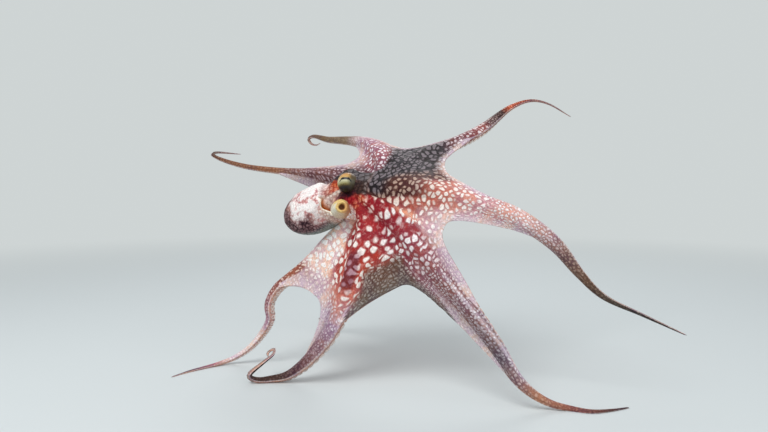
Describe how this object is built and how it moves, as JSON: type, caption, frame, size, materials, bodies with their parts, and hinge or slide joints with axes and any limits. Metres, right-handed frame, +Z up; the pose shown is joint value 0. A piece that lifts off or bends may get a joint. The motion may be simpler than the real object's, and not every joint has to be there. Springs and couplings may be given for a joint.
{
  "type": "octopus",
  "caption": "Life-size common octopus striding over level ground on some of its arms, the others spread, with webs between them and the head and mantle held out to one side.",
  "frame": {"origin": "the middle of the whole animal's box, on the floor that its arms stand on", "axes": "+Z up; -Y towards the animal's right side; -X towards the end of its mantle; +X the way its mouth and arms face"},
  "size_m": [0.6274, 0.4762, 0.3786],
  "materials": {
    "skin": "moist soft skin, satin, red-brown with pale round spots in a darker net",
    "web": "thin moist skin, satin, red-brown with pale spots and a pale free edge",
    "funnel": "smooth moist skin, cream with a yellow mouth",
    "eye": "wet gloss, golden iris with a dark level pupil"
  },
  "bodies": {
    "root": {"mantle": "skin", "funnel": "funnel", "head": "skin", "eye_right": "eye", "eye_left": "eye", "arm_r1_root": "skin", "arm_r1_middle": "skin", "arm_r1_end": "skin", "arm_r2_root": "skin", "arm_r2_middle": "skin", "arm_r2_end": "skin", "arm_r3_root": "skin", "arm_r3_middle": "skin", "arm_r3_end": "skin", "arm_r4_root": "skin", "arm_r4_middle": "skin", "arm_r4_end": "skin", "arm_l4_root": "skin", "arm_l4_middle": "skin", "arm_l4_end": "skin", "arm_l3_root": "skin", "arm_l3_middle": "skin", "arm_l3_end": "skin", "arm_l2_root": "skin", "arm_l2_middle": "skin", "arm_l2_end": "skin", "arm_l1_root": "skin", "arm_l1_middle": "skin", "arm_l1_end": "skin", "web_r1_r2": "web", "web_r2_r3": "web", "web_r3_r4": "web", "web_r4_l4": "web", "web_l4_l3": "web", "web_l3_l2": "web", "web_l2_l1": "web", "web_l1_r1": "web"}
  },
  "joints": []
}
